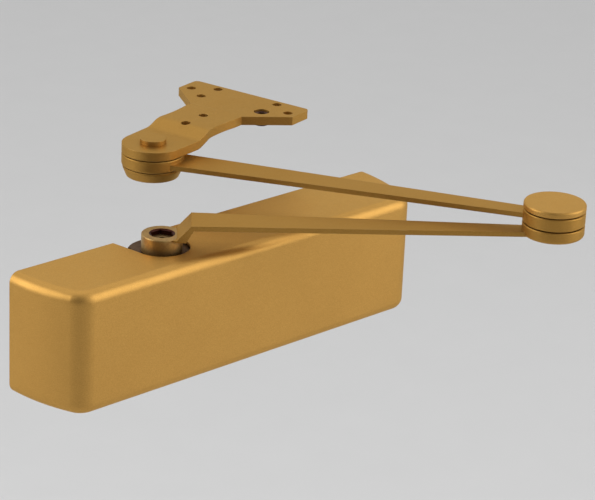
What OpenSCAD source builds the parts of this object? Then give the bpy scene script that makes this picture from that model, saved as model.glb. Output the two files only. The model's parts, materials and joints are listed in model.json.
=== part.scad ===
// Surface-mounted door closer: rack-and-pinion hydraulic body under a full cover,
// with a heavy-duty parallel arm, elbow, forearm and soffit plate.
// Frame: +Z up, door face on the plane Y = 0, the closer standing out towards -Y,
// origin at the centre of the four mounting holes. Millimetres.

/* [Cover] */
// Length of the cover
cover_l = 311; // [305:1:320]
// Height of the cover
cover_h = 82.5; // [82:0.5:88]
// Depth of the cover from the door face
cover_d = 57; // [56:0.5:62]
// Wall thickness of the cover
cover_t = 2; // [1.5:0.1:2.2]
// Plan radius of the two front corners
corner_r = 14; // [12:1:18]
// Rounding of the top, bottom and front edges
edge_r = 7; // [4:0.5:8]
// Radius of the notch around the spindle
notch_r = 18.5; // [17:0.5:20]
// Half width of the notch where it reaches the door face
notch_mouth = 22; // [19:0.5:26]

/* [Closer body] */
// Pinion axis to the cover's left end
pinion_from_end = 104.5; // [103:0.5:108]
// Pinion axis to the door face
pinion_back = 22.5; // [22.5:0.1:24]
// Cylinder bore radius
bore_r = 19; // [18.5:0.1:19]
// Body length to the left of the pinion axis
body_left = 80; // [78:1:82]
// Body length to the right of the pinion axis
body_right = 188; // [186:1:190]
// Hole spacing along the door
screw_dx = 229; // [225:1:232]
// Hole spacing up the door
screw_dz = 60; // [56:1:62]
// Radius of a mounting screw hole
screw_r = 3.6; // [3:0.1:4]

/* [Pinion and piston] */
// Gear module of the rack and pinion
gear_m = 1.5; // [1.4:0.05:1.5]
// Teeth on the pinion
pinion_teeth = 12; // [12:1:12]
// Journal radius of the spindle
journal_r = 8; // [7.5:0.1:8]
// Across flats of the spindle's hexagon
hex_af = 13.6; // [12:0.2:13.6]
// Full turn of the pinion, in degrees
pinion_turn = 170; // [150:5:170]
// Piston length to the left of the pinion axis, at rest
piston_left = 63.5; // [62:0.5:63.5]
// Piston length to the right of the pinion axis, at rest
piston_right = 38; // [38:0.5:40]

/* [Springs] */
// Mean radius of the outer spring
spring_r = 14.3; // [14:0.1:14.5]
// Wire radius of the outer spring
wire_r = 2.4; // [2:0.1:2.4]
// Mean radius of the inner spring
inner_spring_r = 7.7; // [7.5:0.1:8]
// Wire radius of the inner spring
inner_wire_r = 1.5; // [1:0.1:1.5]
// Travel of the spring seat on the power screw
seat_travel = 12; // [8:1:12]

/* [Arms] */
// Pinion axis to elbow axis
arm_c = 250.5; // [240:0.5:260]
// Elbow axis to soffit pivot axis
fore_c = 272.5; // [262:0.5:280]
// Thickness of the main arm's bar
arm_t = 3.2; // [3:0.1:5]
// Width of the main arm at its bend
arm_w0 = 25; // [22:0.5:28]
// Width of the main arm at the elbow
arm_w1 = 12; // [10:0.5:20]
// Thickness of the forearm's bar
fore_t = 3.2; // [3:0.1:5]
// Width of the forearm at the soffit pivot
fore_w0 = 26; // [22:0.5:28]
// Width of the forearm at the elbow
fore_w1 = 12.5; // [10:0.5:20]
// Radius of the arm hub
hub_r = 13.4; // [12.5:0.1:14]
// Radius of the elbow discs
elbow_r = 20.2; // [18:0.1:22]
// Radius of the discs at the soffit pivot
pivot_r = 21; // [19:0.1:22]

/* [Soffit plate] */
// Plate thickness
plate_t = 6; // [5:0.1:6.4]
// Rise of the joggle between pivot end and head
plate_rise = 4.4; // [3:0.1:6]
// Pivot axis to the plate's far edge
plate_l = 115; // [112:0.5:118]
// Width of the plate's head
plate_w = 97; // [92:0.5:100]
// Width of the neck
neck_w = 43; // [42:0.5:46]
// Radius of a plate screw hole
plate_hole_r = 3.3; // [3:0.1:3.6]

/* [Arm position] */
// Main arm direction, degrees from +X
arm_dir = -41; // [-60:1:-20]
// Forearm direction, degrees from +X
fore_dir = 120.6; // [110:0.2:130]
// Plate direction, degrees from +X
plate_dir = 13; // [0:1:40]

/* [Hidden] */
$fn = 64;

paint = [0.70, 0.54, 0.31];
paint_dark = [0.62, 0.47, 0.26];
plating = [0.55, 0.44, 0.24];
steel = [0.68, 0.69, 0.70];
iron = [0.36, 0.37, 0.38];
bronze = [0.66, 0.48, 0.24];
rubber = [0.10, 0.10, 0.10];
nylon = [0.85, 0.84, 0.78];

fit = 0.05;                 // running clearance, on the radius
seat_gap = 0.02;            // clearance of a fixed piece in its seat

// places of the pinion axis, measured from the origin at the mounting holes' centre
left_hole_offset = 81.5;    // pinion axis to the left pair of mounting holes
pinion_x = left_hole_offset - screw_dx / 2;
cover_x0 = pinion_x - pinion_from_end;

// cover plan: bowed end, corner arc, straight front; the arcs' centres stand in a
// 5-12-13 triangle, so the two arcs run into each other without a kink
corner_y = corner_r - cover_d;
end_r = corner_r - corner_y * 13 / 5;
end_x = cover_x0 + end_r;
corner_x = end_x + corner_y * 12 / 5;
wedge = 1.3;                // how far the ends' cutting wedges reach past the corner

// body
tube_r = pinion_back;
pad_z = 24;
lug_t = 7;
lug_w = 22;
lug_z = screw_dz / 2 + 7.5;
boss_r = 17;
boss_z = 34;
nut_r = 22;
nut_top = 38;
nut_skirt = 5;               // how far the gland nut reaches down over the boss
bearing_hole_r = 11;
valve_pad = [-60, -20];
valve_pad_y = -28.5;
valve_r = 3;
valve_x = [-52, -40, -28];
valve_z = [6, -6, 6];
valve_head_y = -31.2;
valve_neck = [-26.6, -25.2]; // groove for the valve's ring
valve_tip_y = -22.2;
port_r = 1.2;
fill_x = 60;
fill_r = 4;
post_x = [-55, 110];
post_boss_z = 28;
sink_r = [4.4, 2.4];        // countersinks in the cover's underside
plug_r = 20.5;
plug_l = 15;
groove_depth = 2.1;         // seal grooves in the plugs and the piston
post_hole_r = 3;

// gear
pitch_r = gear_m * pinion_teeth / 2;
pressure = 25;
base_r = pitch_r * cos(pressure);
tip_r = pitch_r + gear_m;
root_r = pitch_r - 1.25 * gear_m;
rack_pitch = PI * gear_m;
backlash = 0.12;
gear_half = 8.5;
shoulder_r = 9.4;
shoulder_z = 18.4;
travel = pitch_r * pinion_turn * PI / 180;
slot_left = -(travel + tip_r + 1.2);
slot_right = tip_r + 1.5;
slot_front = -(tip_r + 1);
slot_rear = pitch_r + 1.25 * gear_m;
hex_z0 = 36;
hex_top = 46.4;
hex_bottom = -40;

// piston details
cup_r = 17.4;
cup_floor = piston_right - 12;
ball_r = 3.4;
ball_x = -piston_left + 10.4;
ball_hole_r = 2;
ball_room_r = 4;
ball_room = [-piston_left + 7.5, -piston_left + 16.5];

// springs and power adjustment
seat_x = 150;
seat_t = 8;
plug_face = body_right - plug_l;
power_r = 5;
power_tip = seat_x - seat_travel - 3;
key_w = 5;
key_r = 20.6;

// bearings and seals on the spindle
shell_t = 1;
roller_gap = 0.03;
roller_r = (bearing_hole_r - seat_gap - shell_t - journal_r) / 2 - roller_gap;
roller_n = 16;
bearing_z = [20, 31];

// heights of the arm pieces
hub_bottom = 38.4;
hub_top = 50;
set_screw_z = 44.4;
set_screw_r = 2.5;
arm_z = 56.8;
boss_t = 8;
disc_gap = 0.7;
arm_boss_top = arm_z + boss_t;
fore_z = arm_boss_top + disc_gap;
fore_boss_t = 8.4;
fore_top = fore_z + fore_boss_t;
fore_bar_z = fore_z + 2.2;
top_z = fore_top + disc_gap;
cap_t = 4;
plate_head_z = top_z + plate_rise;
rivet_head_r = 8.8;
rivet_head_t = 3.4;
pin_r = 6;
pin_neck_r = 4;             // end of the elbow pin, inside the cap
pin_neck_h = 2.6;
bush_r = 8;
ring_gap = 0.15;
ring_t = 7;
bend_s = 18.5;
root_s = 9.5;
foot_drop = 1.6;

// plate details
joggle = [21, 37];
bend_steps = 8;
wing_s = 71.5;               // where the wings leave the neck
wing_tip_s = 94;             // where they reach the full width
head_corner_r = 3.5;
waist_r = 110;
waist_s = 48;
waist_depth = 1.2;
outer_holes = [99, 41.2];
inner_holes = [109, 25.2];
wing_holes = [89.5, 25.7];
neck_holes = [36.6, 56.8];
stud_r = 5.4;
stud_drop = 3;

// ---------- helpers ----------

// frame of the closer body: pinion axis at the origin, mid height
module at_pinion() translate([pinion_x, -pinion_back, 0]) children();

// frame of the main arm: X along the arm from the pinion axis
module at_arm() at_pinion() rotate([0, 0, arm_dir]) children();

// frame of the forearm: X along the forearm from the elbow axis
module at_elbow() at_pinion() translate([arm_c * cos(arm_dir), arm_c * sin(arm_dir), 0])
    rotate([0, 0, fore_dir]) children();

// frame of the soffit plate: X along the plate from the pivot axis
module at_plate() at_elbow() translate([fore_c, 0, 0])
    rotate([0, 0, plate_dir - fore_dir]) children();

module tube(r_out, r_in, z0, z1) translate([0, 0, z0]) difference() {
    cylinder(r = r_out, h = z1 - z0);
    translate([0, 0, -1]) cylinder(r = r_in, h = z1 - z0 + 2);
}

module rod(r, z0, z1) translate([0, 0, z0]) cylinder(r = r, h = z1 - z0);

// turns a shape built along Z so that it lies along X
module along_x() rotate([0, 90, 0]) children();

module xrod(r, x0, x1) along_x() rod(r, x0, x1);

module xtube(r_out, r_in, x0, x1) along_x() tube(r_out, r_in, x0, x1);

// rod along Y, from y0 to y1
module yrod(r, y0, y1) translate([0, y0, 0]) rotate([-90, 0, 0]) cylinder(r = r, h = y1 - y0);

module hexagon(af, z0, z1) translate([0, 0, z0]) cylinder(r = af / sqrt(3), h = z1 - z0, $fn = 6);

// disc whose top and bottom edges are rounded by rt and rb
module soft_disc(r, z0, z1, rt, rb) translate([0, 0, z0]) rotate_extrude() {
    h = z1 - z0;
    translate([0, rb]) square([r, h - rt - rb]);
    square([r - max(rb, 0.01), h]);
    translate([0, h - rt]) square([r - rt, rt]);
    translate([r - rt, h - rt]) circle(r = rt);
    if (rb > 0) translate([r - rb, rb]) circle(r = rb);
}

// round-section ring, such as an O-ring
module o_ring(r_mean, r_wire) rotate_extrude() translate([r_mean, 0]) circle(r = r_wire);

// coil spring along Z, swept as rings of points along a helix
module coil(r_mean, r_wire, z0, z1, turns, steps, sides) {
    n = turns * steps;
    points = [for (i = [0:n], j = [0:sides - 1])
        let (a = 360 * i / steps, b = 360 * j / sides, rr = r_mean + r_wire * cos(b))
        [rr * cos(a), rr * sin(a), z0 + (z1 - z0) * i / n + r_wire * sin(b)]];
    walls = [for (i = [0:n - 1], j = [0:sides - 1])
        let (k = (j + 1) % sides)
        [i * sides + j, i * sides + k, (i + 1) * sides + k, (i + 1) * sides + j]];
    start = [[for (j = [sides - 1:-1:0]) j]];
    finish = [[for (j = [0:sides - 1]) n * sides + j]];
    polyhedron(points = points, faces = concat(walls, start, finish), convexity = 10);
}

// ---------- cover ----------

// round slab of radius r about the Z axis, with its edges rounded; i is the inset
module cover_disc(r, i) rotate_extrude($fn = 180) {
    h = cover_h - 2 * i;
    e = edge_r - i;
    translate([0, -h / 2]) square([r - i - e, h]);
    translate([0, -h / 2 + e]) square([r - i, h - 2 * e]);
    for (s = [-1, 1]) translate([r - i - e, s * (h / 2 - e)]) circle(r = e);
}

// part of a slab that lies over the plan shape given as points
module over_plan(points) intersection() {
    children();
    translate([0, 0, -cover_h]) linear_extrude(height = 2 * cover_h) polygon(points);
}

// one bowed end with its front corner, at the left end of the cover
module cover_end(i) {
    back = i > 0 ? 1 : 0;
    far = cover_x0 - 20;
    over_plan([[corner_x, back], [far, back], [far, corner_y * wedge],
        [end_x + (corner_x - end_x) * wedge, corner_y * wedge], [corner_x, corner_y]])
        translate([end_x, 0, 0]) cover_disc(end_r, i);
    over_plan([[corner_x, corner_y], [end_x + (corner_x - end_x) * wedge, corner_y * wedge],
        [far, corner_y * wedge], [far, -cover_d - 1], [corner_x, -cover_d - 1]])
        translate([corner_x, corner_y, 0]) cover_disc(corner_r, i);
}

// front, top and bottom between the two corners
module cover_middle(i) {
    h = cover_h - 2 * i;
    e = edge_r - i;
    d = cover_d + (i > 0 ? 1 : 0);
    translate([corner_x, 0, 0]) rotate([90, 0, 90])
        linear_extrude(height = cover_l - 2 * (corner_x - cover_x0)) {
            translate([-cover_d + i + e, -h / 2]) square([d - i - e, h]);
            translate([-cover_d + i, -h / 2 + e]) square([d - i, h - 2 * e]);
            for (s = [-1, 1]) translate([-cover_d + i + e, s * (h / 2 - e)]) circle(r = e);
        }
}

module cover_solid(i) {
    cover_middle(i);
    cover_end(i);
    translate([2 * cover_x0 + cover_l, 0, 0]) mirror([1, 0, 0]) cover_end(i);
}

// plan of the notch that lets the arm hub through
module notch_plan() {
    circle(r = notch_r);
    polygon([[-notch_r, 0], [notch_r, 0], [notch_mouth, pinion_back + 1],
        [-notch_mouth, pinion_back + 1]]);
}

module cover() {
    color(paint) difference() {
        cover_solid(0);
        cover_solid(cover_t);
        at_pinion() translate([0, 0, -cover_h]) linear_extrude(height = 2 * cover_h) notch_plan();
        for (x = post_x) at_pinion() translate([x, 0, -cover_h / 2 - 0.01])
            cylinder(r1 = sink_r[0], r2 = sink_r[1], h = cover_t + 0.02);
    }
}

// countersunk screws in the underside of the cover
module cover_screws() {
    color(steel) for (x = post_x) at_pinion() translate([x, 0, -cover_h / 2]) difference() {
        union() {
            cylinder(r1 = sink_r[0] - fit, r2 = sink_r[1] - fit, h = cover_t);
            cylinder(r = 2, h = cover_t + 7);
        }
        translate([-5, -0.5, -1]) cube([10, 1, 1.9]);
    }
}

// standoffs between the body and the cover's underside
module cover_posts() {
    color(steel) for (x = post_x) at_pinion() translate([x, 0, 0]) difference() {
        union() {
            hexagon(9, -cover_h / 2 + cover_t + seat_gap, -post_boss_z);
            rod(post_hole_r - 0.03, -post_boss_z - 0.01, -post_boss_z + 5);
        }
        rod(2 + seat_gap, -cover_h, -post_boss_z - 1);
    }
}

// ---------- closer body ----------

// outer form of the casting
module body_form() {
    xrod(tube_r, -body_left, body_right);
    translate([-body_left, 9, -pad_z]) cube([body_left + body_right, pinion_back - 9, 2 * pad_z]);
    for (x = [-left_hole_offset, screw_dx - left_hole_offset])
        translate([x - lug_w / 2, pinion_back - lug_t, -lug_z]) cube([lug_w, lug_t, 2 * lug_z]);
    rod(boss_r, -boss_z, boss_z);
    translate([valve_pad[0], valve_pad_y, -13]) cube([valve_pad[1] - valve_pad[0], 12, 26]);
    translate([fill_x, 0, 0]) yrod(8, -26, -15);
    for (x = post_x) translate([x, 0, 0]) rod(7.5, -post_boss_z, -15);
}

module closer_body() {
    color(iron) at_pinion() difference() {
        body_form();
        xrod(bore_r + fit, -body_left - 1, body_right + 1);
        xrod(plug_r, -body_left - 1, -body_left + plug_l);
        xrod(plug_r, plug_face, body_right + 1);
        for (x = [-left_hole_offset, screw_dx - left_hole_offset], s = [-1, 1])
            translate([x, 0, s * screw_dz / 2]) yrod(screw_r, 0, pinion_back + 1);
        rod(bearing_hole_r, -boss_z - 1, boss_z + 1);
        for (i = [0:2]) translate([valve_x[i], 0, valve_z[i]]) {
            yrod(valve_r + fit, valve_pad_y - 1, -21);
            yrod(port_r, -22, -15);
        }
        translate([fill_x, 0, 0]) {
            yrod(fill_r, -27, -21);
            yrod(2, -22, -15);
        }
        for (x = post_x) translate([x, 0, 0]) rod(post_hole_r, -post_boss_z - 1, -post_boss_z + 5.2);
        translate([seat_x - seat_travel - 1, -key_w / 2 - 0.2, -key_r - 0.2])
            cube([plug_face - seat_x + seat_travel + 2, key_w + 0.4, 4]);
    }
}

// plug body at the left end of the cylinder, with a groove for its ring
module left_end_plug() {
    color(steel) at_pinion() difference() {
        xrod(plug_r - seat_gap, -body_left, -body_left + plug_l);
        xtube(plug_r + 1, plug_r - groove_depth, -body_left + 9, -body_left + 12.2);
        along_x() hexagon(12, -body_left - 1, -body_left + 6);
    }
}

module left_plug_seal() {
    color(rubber) at_pinion() xtube(plug_r - seat_gap, plug_r - groove_depth + seat_gap,
        -body_left + 9.1, -body_left + 12.1);
}

module right_end_plug() {
    color(steel) at_pinion() difference() {
        xrod(plug_r - seat_gap, plug_face, body_right);
        xtube(plug_r + 1, plug_r - groove_depth, plug_face + 3, plug_face + 6.2);
        xrod(power_r + fit, plug_face - 1, body_right + 1);
        xrod(power_r + 2, plug_face + 8, plug_face + 10.4);
        for (a = [0, 180]) rotate([a, 0, 0]) translate([0, 14, 0])
            xrod(2, body_right - 5, body_right + 1);
    }
}

module right_plug_seal() {
    color(rubber) at_pinion() xtube(plug_r - seat_gap, plug_r - groove_depth + seat_gap,
        plug_face + 3.1, plug_face + 6.1);
}

// ---------- piston ----------

// rack teeth on the door side of the piston's slot
module rack_teeth() {
    half = rack_pitch / 4 - backlash / 2;
    tip = half - gear_m * tan(pressure);
    foot = half + 1.25 * gear_m * tan(pressure);
    for (k = [ceil(slot_left / rack_pitch) + 1 : floor(slot_right / rack_pitch)])
        translate([k * rack_pitch, 0, -gear_half + 0.3]) linear_extrude(height = 2 * gear_half - 0.6)
            polygon([[-foot, slot_rear + 0.3], [-foot, slot_rear], [-tip, pitch_r - gear_m],
                [tip, pitch_r - gear_m], [foot, slot_rear], [foot, slot_rear + 0.3]]);
}

module rack_piston() {
    color(steel) at_pinion() {
        difference() {
            xrod(bore_r, -piston_left, piston_right);
            translate([slot_left, slot_front, -bore_r - 1])
                cube([slot_right - slot_left, slot_rear - slot_front, 2 * bore_r + 2]);
            xrod(cup_r, cup_floor, piston_right + 1);
            xrod(ball_hole_r, -piston_left - 1, slot_left + 1);
            xrod(ball_room_r, ball_room[0], slot_left + 1);
            xtube(bore_r + 1, bore_r - groove_depth, -piston_left + 4, -piston_left + 7.1);
            xrod(2.2, slot_right - 1, cup_floor + 1);
        }
        rack_teeth();
    }
}

module piston_seal() {
    color(rubber) at_pinion() xtube(bore_r + fit - 0.02, bore_r - groove_depth + seat_gap,
        -piston_left + 4.05, -piston_left + 7.05);
}

module check_ball() {
    color(steel) at_pinion() translate([ball_x, 0, 0]) sphere(r = ball_r);
}

// ring that keeps the ball in its room
module check_retainer() {
    color(bronze) at_pinion() xtube(ball_room_r - seat_gap, 2.2, ball_room[1] - 1.5, ball_room[1]);
}

// ---------- springs and power adjustment ----------

module outer_spring() {
    color(iron) at_pinion() along_x()
        coil(spring_r, wire_r, cup_floor + wire_r + 0.1, seat_x - wire_r - 0.1, 10, 16, 8);
}

module inner_spring() {
    color(iron) at_pinion() along_x()
        coil(inner_spring_r, inner_wire_r, cup_floor + inner_wire_r + 0.1,
            seat_x - inner_wire_r - 0.1, 13, 14, 6);
}

// nut plate that the springs push on; its key keeps it from turning
module spring_seat() {
    color(steel) at_pinion() difference() {
        union() {
            xrod(bore_r - 0.3, seat_x, seat_x + seat_t);
            translate([seat_x, -key_w / 2, -key_r]) cube([seat_t, key_w, 6]);
        }
        xrod(power_r + fit, seat_x - 1, seat_x + seat_t + 1);
    }
}

module power_screw() {
    color(steel) at_pinion() difference() {
        union() {
            xrod(power_r, power_tip, body_right + 0.5);
            xrod(8, plug_face - 4, plug_face - 0.3);
            along_x() hexagon(13, body_right + 0.3, body_right + 6);
        }
        along_x() hexagon(5, body_right + 2, body_right + 7);
    }
}

module power_screw_seal() {
    color(rubber) at_pinion() translate([plug_face + 9.2, 0, 0]) along_x()
        o_ring(power_r + 1.06, 0.9);
}

// ---------- pinion spindle and its bearings ----------

function involute_angle(r) = let (p = acos(base_r / r)) tan(p) * 180 / PI - p;

// half tooth angle at radius r, measured at the pinion's centre
function half_tooth(r) = 90 / pinion_teeth - backlash * 90 / (PI * pitch_r)
    + involute_angle(pitch_r) - involute_angle(max(r, base_r));

function polar(r, a) = [r * cos(a), r * sin(a)];

module pinion_plan() {
    steps = 5;
    pitch = 360 / pinion_teeth;
    polygon([for (i = [0:pinion_teeth - 1]) let (c = 90 + pitch * (i + 0.5)) each concat(
        [polar(root_r, c - half_tooth(base_r))],
        [for (k = [0:steps]) let (r = base_r + (tip_r - base_r) * k / steps)
            polar(r, c - half_tooth(r))],
        [for (k = [steps:-1:0]) let (r = base_r + (tip_r - base_r) * k / steps)
            polar(r, c + half_tooth(r))],
        [polar(root_r, c + half_tooth(base_r))])]);
}

module pinion_spindle() {
    color(steel) at_pinion() difference() {
        union() {
            translate([0, 0, -gear_half]) linear_extrude(height = 2 * gear_half) pinion_plan();
            for (s = [0, 1]) mirror([0, 0, s]) {
                rod(shoulder_r, gear_half - 0.01, shoulder_z);
                rod(journal_r, shoulder_z - 0.01, hex_z0);
            }
            hexagon(hex_af, hex_z0 - 0.01, hex_top);
            hexagon(hex_af, hex_bottom, -hex_z0 + 0.01);
        }
        rod(2.6, hex_top - 14, hex_top + 1);
    }
}

module bearing_shell() tube(bearing_hole_r - seat_gap, bearing_hole_r - seat_gap - shell_t,
    bearing_z[0], bearing_z[1]);

module roller_set() for (i = [0:roller_n - 1]) rotate([0, 0, 360 * i / roller_n])
    translate([journal_r + roller_r + roller_gap, 0, 0])
        rod(roller_r, bearing_z[0] + 1, bearing_z[1] - 1);

module upper_bearing() {
    color(steel) at_pinion() bearing_shell();
}

module lower_bearing() {
    color(steel) at_pinion() mirror([0, 0, 1]) bearing_shell();
}

module upper_rollers() {
    color(steel) at_pinion() roller_set();
}

module lower_rollers() {
    color(steel) at_pinion() mirror([0, 0, 1]) roller_set();
}

module thrust_washers() {
    color(bronze) at_pinion() for (s = [0, 1]) mirror([0, 0, s])
        tube(bearing_hole_r - 0.1, journal_r + 0.1, shoulder_z + 0.1, bearing_z[0] - 0.1);
}

module lip_seal() tube(bearing_hole_r - seat_gap, journal_r + fit, bearing_z[1] + 0.1, boss_z - 0.1);

module upper_seal() {
    color(rubber) at_pinion() lip_seal();
}

module lower_seal() {
    color(rubber) at_pinion() mirror([0, 0, 1]) lip_seal();
}

// gland nut over the bearing boss, with four spanner notches
module gland_nut() difference() {
    tube(nut_r, journal_r + 0.4, boss_z - nut_skirt, nut_top);
    rod(boss_r + seat_gap, boss_z - nut_skirt - 1, boss_z);
    for (a = [45:90:315]) rotate([0, 0, a]) translate([nut_r - 2, -1.5, nut_top - 1.6])
        cube([3, 3, 2]);
}

module upper_retainer() {
    color(plating) at_pinion() gland_nut();
}

module lower_retainer() {
    color(plating) at_pinion() mirror([0, 0, 1]) gland_nut();
}

// ---------- valves ----------

// needle screw i, along Y, with its point towards the cylinder
module needle_valve(i) at_pinion() translate([valve_x[i], 0, valve_z[i]]) difference() {
    union() {
        yrod(valve_r, valve_head_y, valve_neck[0]);
        yrod(valve_r - 0.9, valve_neck[0] - 0.1, valve_neck[1] + 0.1);
        yrod(valve_r, valve_neck[1], valve_tip_y);
        translate([0, valve_tip_y, 0]) rotate([-90, 0, 0]) cylinder(r1 = 1.6, r2 = 0.7, h = 1.1);
    }
    translate([-valve_r - 1, valve_head_y - 1, -0.5]) cube([2 * valve_r + 2, 2.2, 1]);
}

module sweep_valve() {
    color(bronze) needle_valve(0);
}

module latch_valve() {
    color(bronze) needle_valve(1);
}

module backcheck_valve() {
    color(bronze) needle_valve(2);
}

module valve_seals() {
    neck_y = (valve_neck[0] + valve_neck[1]) / 2;
    color(rubber) for (i = [0:2]) at_pinion() translate([valve_x[i], neck_y, valve_z[i]])
        rotate([90, 0, 0]) o_ring(valve_r - 0.38, 0.4);
}

module fill_plug() {
    color(steel) at_pinion() translate([fill_x, 0, 0]) difference() {
        union() {
            yrod(fill_r - seat_gap, -26.1, -21.2);
            yrod(6, -28.4, -26);
        }
        yrod(2.4, -29, -25);
    }
}

// ---------- main arm ----------

// machined hub on the spindle's hexagon
module arm_hub() {
    color(plating) at_arm() difference() {
        soft_disc(hub_r, hub_bottom, hub_top, 0.8, 0.4);
        rotate([0, 0, -arm_dir]) hexagon(hex_af + 0.06, hub_bottom - 1, hub_top + 1);
        translate([0, 0, hub_top - 0.8]) cylinder(r1 = hex_af / 2 + 0.6, r2 = hex_af / 2 + 1.5, h = 0.81);
        rotate([0, 0, 90 - arm_dir]) translate([0, 0, set_screw_z])
            xrod(set_screw_r, 6, hub_r + 1);
    }
}

// side view of the bent bar, X along the arm, Y up
module arm_profile() {
    rise_bottom = bend_s + arm_t * 0.55;
    polygon([[root_s, hub_top], [bend_s, arm_z + arm_t], [arm_c, arm_z + arm_t], [arm_c, arm_z],
        [rise_bottom, arm_z], [hub_r + 2, hub_top - foot_drop], [hub_r - 6, hub_top - foot_drop],
        [hub_r - 6, hub_top]]);
}

module main_arm() {
    color(paint_dark) at_arm() difference() {
        union() {
            intersection() {
                rotate([90, 0, 0]) linear_extrude(height = 60, center = true) arm_profile();
                linear_extrude(height = 100) polygon([[root_s - 4, hub_r - 0.8], [bend_s, arm_w0 / 2],
                    [arm_c, arm_w1 / 2], [arm_c, -arm_w1 / 2], [bend_s, -arm_w0 / 2],
                    [root_s - 4, -hub_r + 0.8]]);
            }
            translate([arm_c, 0, 0]) soft_disc(elbow_r, arm_z, arm_boss_top, 0.8, 2.4);
        }
        rod(hub_r + seat_gap, hub_bottom, hub_top);
        translate([arm_c, 0, 0]) rod(pin_r + 0.01, arm_z - 1, arm_boss_top + 1);
    }
}

// grub screw in the hub, on the door side
module hub_set_screw() {
    color(iron) at_pinion() rotate([0, 0, 90]) translate([0, 0, set_screw_z]) difference() {
        xrod(set_screw_r - seat_gap, hex_af / 2 + 0.3, hub_r - 0.6);
        along_x() hexagon(2.6, hub_r - 3, hub_r + 1);
    }
}

module elbow_pin() {
    color(steel) at_arm() translate([arm_c, 0, 0]) {
        rod(pin_r, arm_z + 0.2, top_z);
        rod(pin_neck_r, top_z - 0.1, top_z + pin_neck_h);
    }
}

module elbow_washers() {
    color(nylon) at_arm() translate([arm_c, 0, 0]) {
        tube(elbow_r - 2.4, pin_r + fit, arm_boss_top, arm_boss_top + disc_gap - 0.1);
        tube(elbow_r - 2.4, pin_r + fit, fore_top + 0.1, top_z);
    }
}

module elbow_cap() {
    color(paint) at_arm() translate([arm_c, 0, 0]) difference() {
        soft_disc(elbow_r, top_z, top_z + cap_t, 1.2, 0.6);
        rod(pin_neck_r + seat_gap, top_z - 1, top_z + pin_neck_h + 0.1);
    }
}

// ---------- forearm ----------

module forearm() {
    color(paint_dark) at_elbow() difference() {
        union() {
            translate([0, 0, fore_bar_z]) linear_extrude(height = fore_t)
                polygon([[0, fore_w1 / 2], [fore_c, fore_w0 / 2], [fore_c, -fore_w0 / 2],
                    [0, -fore_w1 / 2]]);
            soft_disc(elbow_r, fore_z, fore_top, 0.8, 0.8);
            translate([fore_c, 0, 0]) soft_disc(pivot_r, fore_z, fore_top, 0.8, 1.6);
        }
        rod(bush_r, fore_z - 1, fore_top + 1);
        translate([fore_c, 0, 0]) rod(bush_r, fore_z - 1, fore_top + 1);
    }
}

module arm_bush() tube(bush_r - seat_gap, pin_r + fit, fore_z + 0.1, fore_top - 0.1);

module elbow_bush() {
    color(bronze) at_elbow() arm_bush();
}

module soffit_bush() {
    color(bronze) at_elbow() translate([fore_c, 0, 0]) arm_bush();
}

// ---------- soffit plate ----------

// pivot pin with its raised head above the plate and its foot staked in the ring below
module soffit_rivet() {
    color(paint) at_plate() {
        soft_disc(rivet_head_r, top_z + plate_t, top_z + plate_t + rivet_head_t, 0.8, 0);
        rod(pin_r, fore_z - ring_gap - ring_t, top_z + plate_t + 0.1);
    }
}

module soffit_washer() {
    color(nylon) at_plate() tube(pivot_r - 2.4, pin_r + fit, fore_top + 0.1, top_z);
}

// tapered ring under the forearm, staked to the rivet
module pivot_ring() {
    color(paint_dark) at_plate() translate([0, 0, fore_z - ring_gap]) difference() {
        mirror([0, 0, 1]) rotate_extrude() polygon([[0, 0], [pivot_r - 0.6, 0],
            [pivot_r - 0.9, 1.6], [pivot_r - 3.2, ring_t], [0, ring_t]]);
        rod(pin_r + 0.01, -ring_t - 1, 1);
    }
}

// head of the plate: a rectangle with rounded far corners and sloping near corners
module plate_head_plan() {
    r = head_corner_r;
    w = plate_w / 2;
    difference() {
        union() {
            translate([wing_s, -w + r]) square([plate_l - wing_s, 2 * w - 2 * r]);
            translate([wing_s, -w]) square([plate_l - wing_s - r, 2 * w]);
            for (s = [-1, 1]) translate([plate_l - r, s * (w - r)]) circle(r = r);
        }
        for (s = [-1, 1]) polygon([[wing_s - 1, s * neck_w / 2], [wing_s, s * neck_w / 2],
            [wing_tip_s, s * w], [wing_tip_s, s * (w + 1)], [wing_s - 1, s * (w + 1)]]);
    }
}

module plate_plan() {
    circle(r = pivot_r);
    difference() {
        for (s = [-1, 1]) polygon([[0, 0], [0, s * pivot_r], [joggle[0], s * neck_w / 2],
            [wing_s + 1, s * neck_w / 2], [wing_s + 1, 0]]);
        for (s = [-1, 1]) translate([waist_s, s * (neck_w / 2 - waist_depth + waist_r)])
            circle(r = waist_r, $fn = 180);
    }
    plate_head_plan();
}

// height of the plate's underside at u along it: a smooth bend between two levels
function plate_z(u) = let (f = (u - joggle[0]) / (joggle[1] - joggle[0]))
    f <= 0 ? top_z : f >= 1 ? plate_head_z : top_z + plate_rise * (1 - cos(180 * f)) / 2;

// side view of the plate, X along the plate, Y up
module plate_profile() {
    bend = [for (i = [0:bend_steps]) joggle[0] + (joggle[1] - joggle[0]) * i / bend_steps];
    stations = concat([-pivot_r - 1], bend, [plate_l + 1]);
    polygon(concat([for (u = stations) [u, plate_z(u)]],
        [for (i = [len(stations) - 1:-1:0]) [stations[i], plate_z(stations[i]) + plate_t]]));
}

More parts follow.
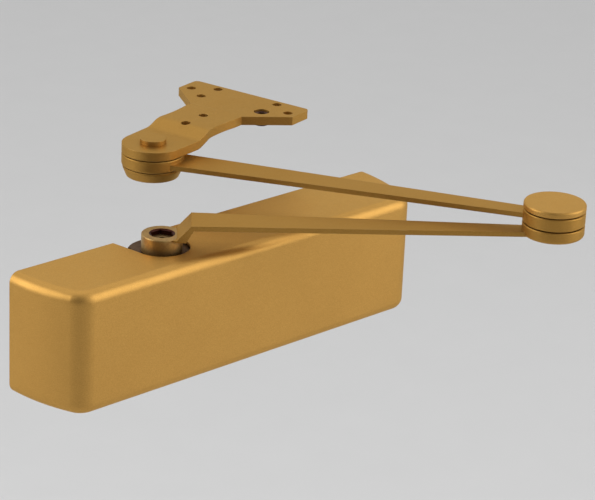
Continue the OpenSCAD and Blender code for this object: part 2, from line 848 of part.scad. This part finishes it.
module soffit_plate() {
    color(paint) at_plate() difference() {
        intersection() {
            rotate([90, 0, 0]) linear_extrude(height = plate_w + 4, center = true) plate_profile();
            translate([0, 0, top_z - 1]) linear_extrude(height = 30) plate_plan();
        }
        rod(pin_r + 0.01, top_z - 1, top_z + plate_t + 1);
        for (p = [outer_holes, inner_holes], s = [-1, 1]) translate([p[0], s * p[1], 0])
            rod(plate_hole_r, plate_head_z - 1, plate_head_z + plate_t + 1);
        for (x = neck_holes) translate([x, 0, 0])
            rod(plate_hole_r, plate_head_z - 1, plate_head_z + plate_t + 1);
        translate([wing_holes[0], wing_holes[1], 0])
            rod(plate_hole_r, plate_head_z - 1, plate_head_z + plate_t + 1);
        translate([wing_holes[0], -wing_holes[1], 0])
            rod(stud_r, plate_head_z - 1, plate_head_z + plate_t + 1);
    }
}

// stud in the larger hole, sunk below the top and standing out underneath
module stop_stud() {
    color(iron) at_plate() translate([wing_holes[0], -wing_holes[1], 0]) difference() {
        soft_disc(stud_r - seat_gap, plate_head_z - stud_drop, plate_head_z + plate_t - 1.4, 0.4, 0.8);
        hexagon(5, plate_head_z + plate_t - 4, plate_head_z + plate_t);
    }
}

cover();
cover_screws();
cover_posts();
closer_body();
left_end_plug();
left_plug_seal();
right_end_plug();
right_plug_seal();
rack_piston();
piston_seal();
check_ball();
check_retainer();
outer_spring();
inner_spring();
spring_seat();
power_screw();
power_screw_seal();
pinion_spindle();
upper_bearing();
lower_bearing();
upper_rollers();
lower_rollers();
thrust_washers();
upper_seal();
lower_seal();
upper_retainer();
lower_retainer();
sweep_valve();
latch_valve();
backcheck_valve();
valve_seals();
fill_plug();
arm_hub();
main_arm();
hub_set_screw();
elbow_pin();
elbow_washers();
elbow_cap();
forearm();
elbow_bush();
soffit_bush();
soffit_rivet();
soffit_washer();
pivot_ring();
soffit_plate();
stop_stud();
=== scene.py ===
"""Door closer in satin gold paint: looks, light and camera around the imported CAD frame."""
import json
from math import cos, pi, sin

import bpy
from mathutils import Matrix, Vector


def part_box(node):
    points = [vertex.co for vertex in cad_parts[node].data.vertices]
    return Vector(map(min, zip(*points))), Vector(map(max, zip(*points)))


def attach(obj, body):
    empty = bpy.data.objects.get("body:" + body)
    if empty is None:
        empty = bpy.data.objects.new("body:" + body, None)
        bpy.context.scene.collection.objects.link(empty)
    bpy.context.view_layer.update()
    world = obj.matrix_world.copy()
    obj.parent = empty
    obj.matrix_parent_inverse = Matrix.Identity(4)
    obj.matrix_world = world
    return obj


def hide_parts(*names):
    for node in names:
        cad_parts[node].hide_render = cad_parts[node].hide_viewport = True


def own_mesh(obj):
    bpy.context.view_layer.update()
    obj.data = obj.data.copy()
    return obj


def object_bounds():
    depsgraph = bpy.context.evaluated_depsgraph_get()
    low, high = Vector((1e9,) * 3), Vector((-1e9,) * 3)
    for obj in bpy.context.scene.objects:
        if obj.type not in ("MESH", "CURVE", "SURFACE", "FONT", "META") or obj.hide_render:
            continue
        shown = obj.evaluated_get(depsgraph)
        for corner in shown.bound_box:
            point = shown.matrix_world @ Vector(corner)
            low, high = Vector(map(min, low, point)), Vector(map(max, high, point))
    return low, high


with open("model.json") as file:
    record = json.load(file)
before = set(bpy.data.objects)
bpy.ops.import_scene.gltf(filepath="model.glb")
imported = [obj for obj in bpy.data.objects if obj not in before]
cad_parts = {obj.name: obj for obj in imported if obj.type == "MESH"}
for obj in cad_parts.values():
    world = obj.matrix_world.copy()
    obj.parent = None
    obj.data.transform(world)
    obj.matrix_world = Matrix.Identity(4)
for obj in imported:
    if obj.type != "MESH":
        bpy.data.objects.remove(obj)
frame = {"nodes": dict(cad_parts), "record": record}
cad_box = [list(v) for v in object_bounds()]
nodes = frame["nodes"]
scene = bpy.context.scene
MM = 0.001
FADE_MM = 0.25           # how softly the painted shade in a bore ends
DUST = (0.62, 0.56, 0.44)
EDGE_TINT = (1.0, 0.88, 0.60)   # gold seen edge on
WORN_IRON = (0.42, 0.41, 0.39)


# ---------------------------------------------------------------- materials

class Tree:
    """Short hand for building one material's node tree."""

    def __init__(self, name):
        self.mat = bpy.data.materials.new(name)
        self.mat.use_nodes = True
        self.nt = self.mat.node_tree
        self.bsdf = self.nt.nodes["Principled BSDF"]
        self.coord = self.add("ShaderNodeTexCoord").outputs["Object"]

    def add(self, kind, **props):
        n = self.nt.nodes.new(kind)
        for k, v in props.items():
            setattr(n, k, v)
        return n

    def link(self, a, b):
        self.nt.links.new(a, b)

    def put(self, socket, value):
        if hasattr(value, "is_output"):
            self.link(value, socket)
        else:
            socket.default_value = value

    def mapped(self, scale):
        n = self.add("ShaderNodeMapping")
        self.link(self.coord, n.inputs["Vector"])
        n.inputs["Scale"].default_value = scale
        return n.outputs["Vector"]

    def noise(self, size_mm, detail=3.0, rough=0.5, vector=None):
        n = self.add("ShaderNodeTexNoise")
        self.link(vector or self.coord, n.inputs["Vector"])
        n.inputs["Scale"].default_value = 1.0 / (size_mm * MM)
        n.inputs["Detail"].default_value = detail
        n.inputs["Roughness"].default_value = rough
        return n.outputs["Fac"]

    def cells(self, size_mm, vector):
        n = self.add("ShaderNodeTexVoronoi")
        self.link(vector, n.inputs["Vector"])
        n.inputs["Scale"].default_value = 1.0 / (size_mm * MM)
        return n.outputs["Distance"]

    def remap(self, value, a, b, c=0.0, d=1.0):
        n = self.add("ShaderNodeMapRange")
        self.link(value, n.inputs["Value"])
        for k, v in zip(("From Min", "From Max", "To Min", "To Max"), (a, b, c, d)):
            n.inputs[k].default_value = v
        return n.outputs["Result"]

    def math(self, op, a, b):
        n = self.add("ShaderNodeMath", operation=op)
        self.put(n.inputs[0], a)
        self.put(n.inputs[1], b)
        return n.outputs[0]

    def mix(self, fac, a, b):
        n = self.add("ShaderNodeMix", data_type="RGBA")
        self.put(n.inputs["Factor"], fac)
        self.put(n.inputs["A"], a)
        self.put(n.inputs["B"], b)
        return n.outputs["Result"]

    def edges(self, radius_mm, lo, hi):
        """1 on outer edges and 0 on open faces, from how far a rounded normal leans away."""
        bevel = self.add("ShaderNodeBevel", samples=6)
        bevel.inputs["Radius"].default_value = radius_mm * MM
        geo = self.add("ShaderNodeNewGeometry")
        dot = self.add("ShaderNodeVectorMath", operation="DOT_PRODUCT")
        self.link(bevel.outputs["Normal"], dot.inputs[0])
        self.link(geo.outputs["Normal"], dot.inputs[1])
        return self.remap(dot.outputs["Value"], lo, hi, 1.0, 0.0)

    def near_axis(self, point, radius_mm):
        """1 within the radius of a vertical axis through point, fading to 0 just outside it."""
        from_axis = self.add("ShaderNodeVectorMath", operation="SUBTRACT")
        self.link(self.coord, from_axis.inputs[0])
        from_axis.inputs[1].default_value = point
        flat = self.add("ShaderNodeVectorMath", operation="MULTIPLY")
        self.link(from_axis.outputs["Vector"], flat.inputs[0])
        flat.inputs[1].default_value = (1, 1, 0)
        length = self.add("ShaderNodeVectorMath", operation="LENGTH")
        self.link(flat.outputs["Vector"], length.inputs[0])
        return self.remap(length.outputs["Value"], radius_mm * MM, (radius_mm + FADE_MM) * MM,
                          1.0, 0.0)

    def bump(self, height, strength, distance_mm, normal=None):
        n = self.add("ShaderNodeBump")
        n.inputs["Strength"].default_value = strength
        n.inputs["Distance"].default_value = distance_mm * MM
        self.link(height, n.inputs["Height"])
        if normal is not None:
            self.link(normal, n.inputs["Normal"])
        return n.outputs["Normal"]

    def rounded(self, radius_mm):
        n = self.add("ShaderNodeBevel", samples=4)
        n.inputs["Radius"].default_value = radius_mm * MM
        return n.outputs["Normal"]


def rgb(r, g, b):
    return (r, g, b, 1.0)


def paint(name, light, deep, worn, round_mm, seed, roughness=0.44):
    """Sprayed metallic paint: flakes, orange peel, slight rubbing on the edges, fine dust.

    seed shifts the pattern, so that painted parts don't repeat each other."""
    t = Tree(name)
    moved = t.add("ShaderNodeVectorMath", operation="ADD")
    t.link(t.coord, moved.inputs[0])
    moved.inputs[1].default_value = (seed, seed * 0.7, seed * 1.3)
    v = moved.outputs["Vector"]
    flake = t.noise(0.45, 2.0, 0.6, v)
    cloud = t.noise(38.0, 3.0, 0.5, v)
    base = t.mix(t.remap(flake, 0.32, 0.68), rgb(*deep), rgb(*light))
    base = t.mix(t.remap(cloud, 0.3, 0.7, 0.0, 0.14), base, rgb(*[c * 0.82 for c in deep]))
    patchy = t.noise(7.0, 4.0, 0.65, v)
    rub = t.math("MULTIPLY", t.edges(0.9, 0.86, 0.99), t.remap(patchy, 0.48, 0.72))
    base = t.mix(t.math("MULTIPLY", rub, 0.5), base, rgb(*worn))
    speck = t.remap(t.cells(3.4, vector=v), 0.018, 0.045, 1.0, 0.0)
    dust = t.math("MULTIPLY", speck, t.remap(t.noise(22.0, 2.0, 0.5, v), 0.5, 0.62))
    base = t.mix(t.math("MULTIPLY", dust, 0.35), base, rgb(*DUST))
    t.link(base, t.bsdf.inputs["Base Color"])
    t.bsdf.inputs["Metallic"].default_value = 0.84
    smear = t.noise(16.0, 5.0, 0.6, t.mapped((1.0, 1.0, 2.2)))
    rough = t.math("ADD", t.remap(smear, 0.3, 0.7, roughness - 0.035, roughness + 0.045),
                   t.remap(flake, 0.3, 0.7, -0.02, 0.02))
    t.link(rough, t.bsdf.inputs["Roughness"])
    t.bsdf.inputs["Specular IOR Level"].default_value = 0.2
    t.bsdf.inputs["Specular Tint"].default_value = rgb(*EDGE_TINT)
    t.bsdf.inputs["Coat Weight"].default_value = 0.015
    t.bsdf.inputs["Coat Roughness"].default_value = 0.35
    peel = t.noise(1.9, 2.0, 0.45, v)
    normal = t.bump(peel, 0.10, 0.10, t.rounded(round_mm))
    normal = t.bump(flake, 0.05, 0.02, normal)
    t.link(normal, t.bsdf.inputs["Normal"])
    return t.mat


def metal(name, light, deep, roughness, line_mm=0.3, stretch=(1, 1, 1), metallic=1.0,
          stain=None, shaded_bore=None):
    """Machined or plated metal: drawn tool lines, smudges and brighter edges.

    The last argument is (axis point, radius in mm, colour) of a vertical hole whose wall gets
    painted shade, partly oil stain."""
    t = Tree(name)
    lines = t.noise(line_mm, 3.0, 0.6, t.mapped(stretch))
    cloud = t.noise(6.0, 5.0, 0.62)
    base = t.mix(t.remap(lines, 0.3, 0.7), rgb(*deep), rgb(*light))
    if stain:
        base = t.mix(t.remap(cloud, 0.42, 0.75, 0.0, 0.75), base, rgb(*stain))
    edge = t.math("MULTIPLY", t.edges(0.5, 0.85, 0.99), t.remap(cloud, 0.35, 0.6))
    base = t.mix(t.math("MULTIPLY", edge, 0.6), base, rgb(*[min(1.0, c * 1.35) for c in light]))
    # painted shade inside a vertical hole, partly oil stain
    if shaded_bore:
        base = t.mix(t.near_axis(shaded_bore[0], shaded_bore[1]), base, rgb(*shaded_bore[2]))
    t.link(base, t.bsdf.inputs["Base Color"])
    t.bsdf.inputs["Metallic"].default_value = metallic
    t.link(t.math("ADD", t.remap(lines, 0.3, 0.7, roughness - 0.05, roughness + 0.05),
                  t.remap(cloud, 0.3, 0.7, -0.05, 0.08)), t.bsdf.inputs["Roughness"])
    t.link(t.bump(lines, 0.12, 0.05, t.rounded(0.3)), t.bsdf.inputs["Normal"])
    return t.mat


def casting(name, light, deep):
    """Sand-cast iron under thin grey paint: grainy skin with oily patches."""
    t = Tree(name)
    grain = t.noise(1.1, 6.0, 0.7)
    cloud = t.noise(24.0, 4.0, 0.6)
    base = t.mix(t.remap(grain, 0.3, 0.7), rgb(*deep), rgb(*light))
    base = t.mix(t.remap(cloud, 0.5, 0.75, 0.0, 0.6), base, rgb(*[c * 0.6 for c in deep]))
    edge = t.math("MULTIPLY", t.edges(0.8, 0.85, 0.99), t.remap(grain, 0.45, 0.6))
    base = t.mix(t.math("MULTIPLY", edge, 0.7), base, rgb(*WORN_IRON))
    t.link(base, t.bsdf.inputs["Base Color"])
    t.bsdf.inputs["Metallic"].default_value = 0.35
    t.link(t.remap(cloud, 0.3, 0.7, 0.62, 0.42), t.bsdf.inputs["Roughness"])
    t.link(t.bump(grain, 0.5, 0.25, t.rounded(1.0)), t.bsdf.inputs["Normal"])
    return t.mat


def soft(name, light, deep, roughness):
    """Rubber or plastic: fine grain, scuffs and a little bloom."""
    t = Tree(name)
    grain = t.noise(0.5, 3.0, 0.6)
    cloud = t.noise(5.0, 4.0, 0.6)
    base = t.mix(t.remap(cloud, 0.35, 0.7), rgb(*deep), rgb(*light))
    t.link(base, t.bsdf.inputs["Base Color"])
    t.bsdf.inputs["Specular IOR Level"].default_value = 0.4
    t.link(t.remap(cloud, 0.3, 0.7, roughness - 0.08, roughness + 0.1), t.bsdf.inputs["Roughness"])
    t.link(t.bump(grain, 0.15, 0.05, t.rounded(0.2)), t.bsdf.inputs["Normal"])
    return t.mat


spindle_low, spindle_high = (Vector(v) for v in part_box("pinion_spindle"))
SPINDLE_AXIS = tuple((spindle_low + spindle_high) / 2)
HEX_CORNER_MM = 8.3       # just outside the corners of the hub's hexagonal hole

LINES_UP = (1, 1, 6)      # tool lines drawn out along Z
LINES_UP_LESS = (1, 1, 5)

GOLD = paint("gold_paint", (0.62, 0.350, 0.092), (0.49, 0.265, 0.062), (0.74, 0.50, 0.22),
             round_mm=0.8, seed=0.0, roughness=0.43)
# arms and soffit plate: the cover's gold paint made about a fifth darker, which is painted shade
GOLD_ARM_SHADED = paint("gold_paint_arm_shaded", (0.49, 0.268, 0.062), (0.375, 0.196, 0.040),
                 (0.62, 0.42, 0.18), round_mm=0.5, seed=3.1)
GOLD_PLATE_SHADED = paint("gold_paint_plate_shaded", (0.50, 0.275, 0.066), (0.385, 0.205, 0.043),
                   (0.64, 0.44, 0.19), round_mm=0.5, seed=5.7)
PLATED = metal("dull_gold_plating", (0.50, 0.34, 0.13), (0.33, 0.21, 0.07), 0.42,
               stretch=LINES_UP, stain=(0.26, 0.13, 0.05))
# the hub's hex bore gets painted shade, partly oil stain, near black-red round the spindle axis
HUB = metal("hub_plating", (0.56, 0.38, 0.145), (0.38, 0.24, 0.08), 0.42, stretch=LINES_UP,
            stain=(0.28, 0.13, 0.05), shaded_bore=(SPINDLE_AXIS, HEX_CORNER_MM, (0.06, 0.018, 0.012)))
STEEL = metal("machined_steel", (0.62, 0.61, 0.59), (0.45, 0.44, 0.43), 0.30,
              stretch=LINES_UP_LESS)
SPINDLE = metal("spindle_steel", (0.44, 0.29, 0.12), (0.28, 0.17, 0.07), 0.46,
                stretch=LINES_UP_LESS, stain=(0.16, 0.07, 0.035))
SPRING = metal("spring_steel", (0.16, 0.15, 0.14), (0.08, 0.075, 0.07), 0.42, line_mm=0.5)
BLACK = metal("black_oxide", (0.10, 0.07, 0.045), (0.05, 0.034, 0.022), 0.46, metallic=0.6,
              stain=(0.13, 0.08, 0.04))
BRONZE = metal("bearing_bronze", (0.66, 0.44, 0.20), (0.48, 0.30, 0.12), 0.34,
               stretch=LINES_UP_LESS)
# the gland nut is near black-brown all over: painted shade for the deep shadow round the hub in
# the cover's notch
NUT = metal("gland_nut_painted_shade", (0.15, 0.085, 0.035), (0.07, 0.036, 0.016), 0.5,
            stretch=LINES_UP, metallic=0.7, stain=(0.05, 0.02, 0.012))
# the stop stud is very dark red-brown all over
STUD = metal("stud_dark_red_brown", (0.085, 0.035, 0.02), (0.045, 0.018, 0.012), 0.5, metallic=0.5,
             stain=(0.11, 0.05, 0.03))
IRON = casting("cast_iron", (0.16, 0.165, 0.17), (0.09, 0.095, 0.10))
RUBBER = soft("seal_rubber", (0.035, 0.034, 0.033), (0.015, 0.015, 0.015), 0.6)
NYLON = soft("washer_nylon", (0.075, 0.052, 0.028), (0.04, 0.027, 0.015), 0.5)

LOOK = {
    "paint": GOLD, "arm_paint": GOLD_ARM_SHADED, "plated": PLATED, "casting": IRON, "steel": STEEL,
    "spring_steel": SPRING, "blackened": BLACK, "brass": BRONZE, "rubber": RUBBER, "washer": NYLON,
}
OWN_LOOK = {"pinion_spindle": SPINDLE, "arm_hub": HUB, "soffit_plate": GOLD_PLATE_SHADED,
            "soffit_rivet": GOLD_PLATE_SHADED, "upper_retainer": NUT, "stop_stud": STUD}
SLOTS = {s["node"]: s["material_slot"] for s in frame["record"]["subparts"]}

for name, obj in nodes.items():
    obj.data.materials.clear()
    obj.data.materials.append(OWN_LOOK.get(name, LOOK[SLOTS[name]]))


# ---------------------------------------------------------------- return springs

SIDES = 12               # faces around the wire
STEPS = 36               # steps along the wire in one turn
END_COIL = 0.8           # turns at each end that lie close to the next one
CLOSED_PITCH = 2.15      # pitch of a closed end, in wire radii


def coil_piece(node, wire_r_mm, turns):
    """Compression spring with closed ends, standing for a CAD spring."""
    low_end, seat_end = (Vector(v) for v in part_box(node))
    wire_r = wire_r_mm * MM
    coil_r = (seat_end.z - low_end.z) / 2 - wire_r
    axis = (low_end + seat_end) / 2
    length = seat_end.x - low_end.x
    closed = CLOSED_PITCH * wire_r * END_COIL
    pitch = (length - 2 * wire_r - 2 * closed) / (turns - 2 * END_COIL)
    verts = []
    for i in range(turns * STEPS + 1):
        t = i / STEPS
        first_end = min(t, END_COIL)
        last_end = max(t - (turns - END_COIL), 0.0)
        x = (low_end.x + wire_r + closed * (first_end + last_end) / END_COIL
             + pitch * (t - first_end - last_end))
        angle = 2 * pi * t
        for j in range(SIDES):
            around = 2 * pi * j / SIDES
            radius = coil_r + wire_r * cos(around)
            verts.append((x + wire_r * sin(around), axis.y + radius * cos(angle),
                          axis.z + radius * sin(angle)))
    rings = turns * STEPS
    faces = [(i * SIDES + j, i * SIDES + (j + 1) % SIDES,
              (i + 1) * SIDES + (j + 1) % SIDES, (i + 1) * SIDES + j)
             for i in range(rings) for j in range(SIDES)]
    faces += [tuple(range(SIDES))[::-1], tuple(rings * SIDES + j for j in range(SIDES))]
    mesh = bpy.data.meshes.new(node + "_coil")
    mesh.from_pydata(verts, [], faces)
    mesh.polygons.foreach_set("use_smooth", [len(f) == 4 for f in faces])
    mesh.materials.append(SPRING)
    obj = bpy.data.objects.new(node + "_coil", mesh)
    scene.collection.objects.link(obj)
    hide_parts(node)
    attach(obj, "closer")
    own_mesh(obj)


coil_piece("outer_spring", wire_r_mm=2.4, turns=10)
coil_piece("inner_spring", wire_r_mm=1.5, turns=13)


# ---------------------------------------------------------------- floor, light, camera

def area_light(name, at, target, size, energy):
    data = bpy.data.lights.new(name, "AREA")
    data.shape = "RECTANGLE"
    data.size, data.size_y = size
    data.energy = energy
    obj = bpy.data.objects.new(name, data)
    scene.collection.objects.link(obj)
    obj.location = at
    obj.rotation_euler = (Vector(target) - Vector(at)).to_track_quat("-Z", "Y").to_euler()


FLOOR_DROP = 0.55        # the closer hangs clear of the floor, as it would on a door
HALF = 8.0               # half the floor's width
floor_mesh = bpy.data.meshes.new("floor")
floor_mesh.from_pydata([(-HALF, -HALF, 0), (HALF, -HALF, 0), (HALF, HALF, 0), (-HALF, HALF, 0)],
                       [], [(0, 1, 2, 3)])
floor = bpy.data.objects.new("floor", floor_mesh)
floor.location = (0, 0, cad_box[0][2] - FLOOR_DROP)
scene.collection.objects.link(floor)
ft = Tree("pale_floor")
ft.link(ft.mix(ft.noise(60.0, 2.0), rgb(0.67, 0.67, 0.67), rgb(0.69, 0.69, 0.69)),
        ft.bsdf.inputs["Base Color"])
ft.bsdf.inputs["Roughness"].default_value = 0.9
ft.bsdf.inputs["Specular IOR Level"].default_value = 0.1
floor_mesh.materials.append(ft.mat)

# soft surround: even grey, falling off to dark on one side, which the cover's front corner mirrors
DARK_SIDE = Vector((-0.94, -0.30, 0.10)).normalized()
world = bpy.data.worlds.new("studio")
scene.world = world
world.use_nodes = True
sky = world.node_tree
toward = sky.nodes.new("ShaderNodeTexCoord").outputs["Generated"]
facing = sky.nodes.new("ShaderNodeVectorMath")
facing.operation = "DOT_PRODUCT"
sky.links.new(toward, facing.inputs[0])
facing.inputs[1].default_value = DARK_SIDE
strength = sky.nodes.new("ShaderNodeMapRange")
strength.interpolation_type = "SMOOTHSTEP"
sky.links.new(facing.outputs["Value"], strength.inputs["Value"])
SURROUND, SURROUND_DARK = 0.67, 0.10
for key, value in (("From Min", 0.2), ("From Max", 0.95),
                   ("To Min", SURROUND), ("To Max", SURROUND_DARK)):
    strength.inputs[key].default_value = value
sky.nodes["Background"].inputs["Color"].default_value = (1, 1, 1, 1)
sky.links.new(strength.outputs["Result"], sky.nodes["Background"].inputs["Strength"])

LIT_POINT = (0.01, -0.04, 0.0)
area_light("top_box", (1.3, 1.5, 3.2), (1.0, 1.1, 0.0), (4.5, 4.5), 26)
area_light("right_wall", (1.45, -1.60, 0.80), LIT_POINT, (1.7, 2.4), 23)
area_light("left_wall", (-1.6, 0.95, 0.75), LIT_POINT, (1.6, 1.8), 22)

scene.view_settings.view_transform = "Standard"
scene.view_settings.look = "None"

CAMERA_AT = (-1.00004, -1.15103, 0.64210)
CAMERA_RIGHT = (0.7374, -0.6743, 0.0393)
CAMERA_BACK = (-0.6366, -0.6744, 0.3740)
LENS_MM, SHIFT_X, SHIFT_Y = 151.22, 0.0407, -0.0043

cam_data = bpy.data.cameras.new("camera")
cam = bpy.data.objects.new("camera", cam_data)
scene.collection.objects.link(cam)
scene.camera = cam
cam_data.sensor_width = 36.0
cam_data.lens = LENS_MM
cam_data.shift_x = SHIFT_X
cam_data.shift_y = SHIFT_Y
cam_data.clip_end = 50
right = Vector(CAMERA_RIGHT).normalized()
back = Vector(CAMERA_BACK).normalized()
up = back.cross(right).normalized()
right = up.cross(back)
turn = Matrix((right, up, back)).transposed().to_4x4()
cam.matrix_world = Matrix.Translation(CAMERA_AT) @ turn
